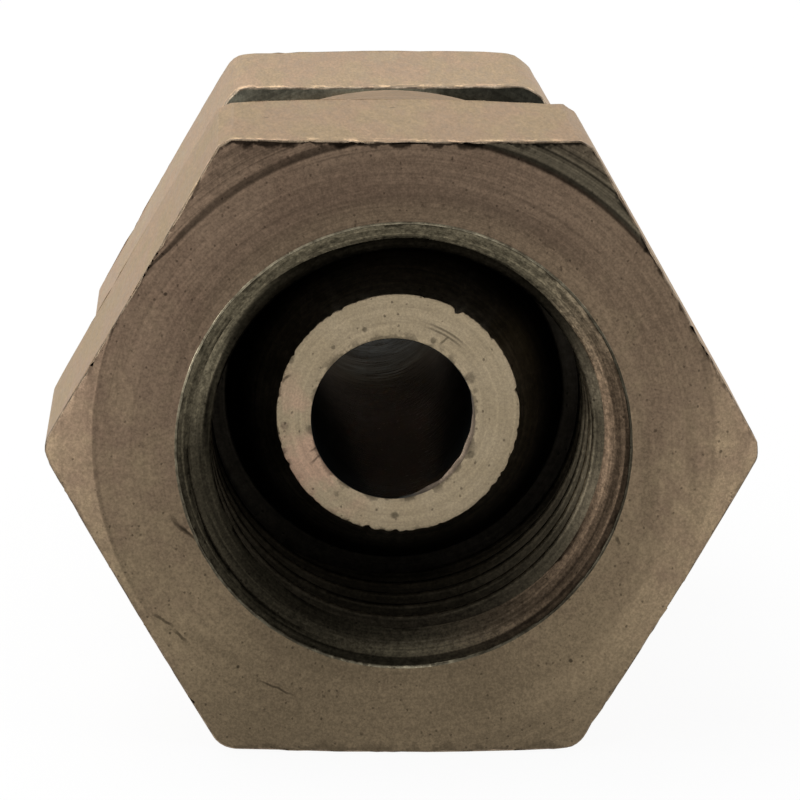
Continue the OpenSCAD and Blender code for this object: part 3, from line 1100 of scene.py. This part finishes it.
# The camera as fitted to the photograph: its place, and where its right, top and back point
CAMERA_LENS = 195.13
CAMERA_PLACE = Vector((-5.469, -127.748, 29.957))
CAMERA_AXES = (
    (0.99916844, -0.03906798, 0.01166707), (-0.00288644, 0.21765331, 0.97602188),
    (-0.04067058, -0.97524393, 0.21735955))
# How much of the floor is plain white where it is seen, so that only its shadow shows
FLOOR_GLOW = 0.93

scene = bpy.context.scene
camera_data = bpy.data.cameras.new("camera")
camera_data.lens = CAMERA_LENS
camera_data.sensor_width = 36
camera_data.clip_start = 0.01
camera_data.clip_end = 20
camera = bpy.data.objects.new("camera", camera_data)
scene.collection.objects.link(camera)
turn = Matrix(CAMERA_AXES).transposed().to_4x4()
camera.matrix_world = Matrix.Translation(CAMERA_PLACE * MM) @ turn
scene.camera = camera

floor_mesh = bpy.data.meshes.new("floor")
bm = bmesh.new()
bmesh.ops.create_grid(bm, x_segments=1, y_segments=1, size=3)
bmesh.ops.translate(bm, vec=(0, 0, CAD_BOX[0].z), verts=bm.verts)
bm.to_mesh(floor_mesh)
bm.free()
floor = bpy.data.objects.new("floor", floor_mesh)
scene.collection.objects.link(floor)


def seen_directly(nodes):
    """1 for rays from the camera, from gloss and through glass."""
    path = nodes.put("LightPath", out=None)
    seen = nodes.math("MAXIMUM", path.outputs["Is Camera Ray"], path.outputs["Is Glossy Ray"])
    return nodes.math("MAXIMUM", seen, path.outputs["Is Transmission Ray"])


paper = bpy.data.materials.new("floor_paper")
paper.use_nodes = True
nodes = Nodes(paper.node_tree)
lit = nodes.put("BsdfDiffuse", {"Color": (0.86, 0.86, 0.86, 1)})
glow = nodes.put("Emission", {"Color": (1, 1, 1, 1), "Strength": 1.0})
share = nodes.math("MULTIPLY", seen_directly(nodes), FLOOR_GLOW)
surface = nodes.put("MixShader", {0: share, 1: lit, 2: glow})
nodes.put("OutputMaterial", {"Surface": surface}, out=None)
floor_mesh.materials.append(paper)

world = bpy.data.worlds.new("studio")
scene.world = world
world.use_nodes = True
# The white sky is dimmer in front of the part, behind the camera
sky = Nodes(world.node_tree)
way = sky.put("SeparateXYZ", {0: sky.put("TexCoord", out="Generated")}, out=None)
strength = sky.ramp(way.outputs[1], -0.6, 0.5, 0.35, 1.0)
backdrop = sky.put("Background", {"Color": (1, 1, 1, 1), "Strength": strength})
sky.put("OutputWorld", {"Surface": backdrop}, out=None)


def lamp(name, place, size, power):
    """A soft square lamp that faces the part. Place and size are in metres."""
    data = bpy.data.lights.new(name, "AREA")
    data.shape = "SQUARE"
    data.size = size
    data.energy = power
    light = bpy.data.objects.new(name, data)
    scene.collection.objects.link(light)
    light.location = place
    light.rotation_mode = "QUATERNION"
    light.rotation_quaternion = (-Vector(place)).to_track_quat("-Z", "Y")


lamp("key", (-0.25, 0.15, 0.6), 0.5, 2.5)
lamp("left", (-0.62, -0.42, 0.14), 0.4, 3.0)
lamp("right", (0.66, -0.36, 0.14), 0.4, 2.0)

scene.view_settings.view_transform = "Standard"
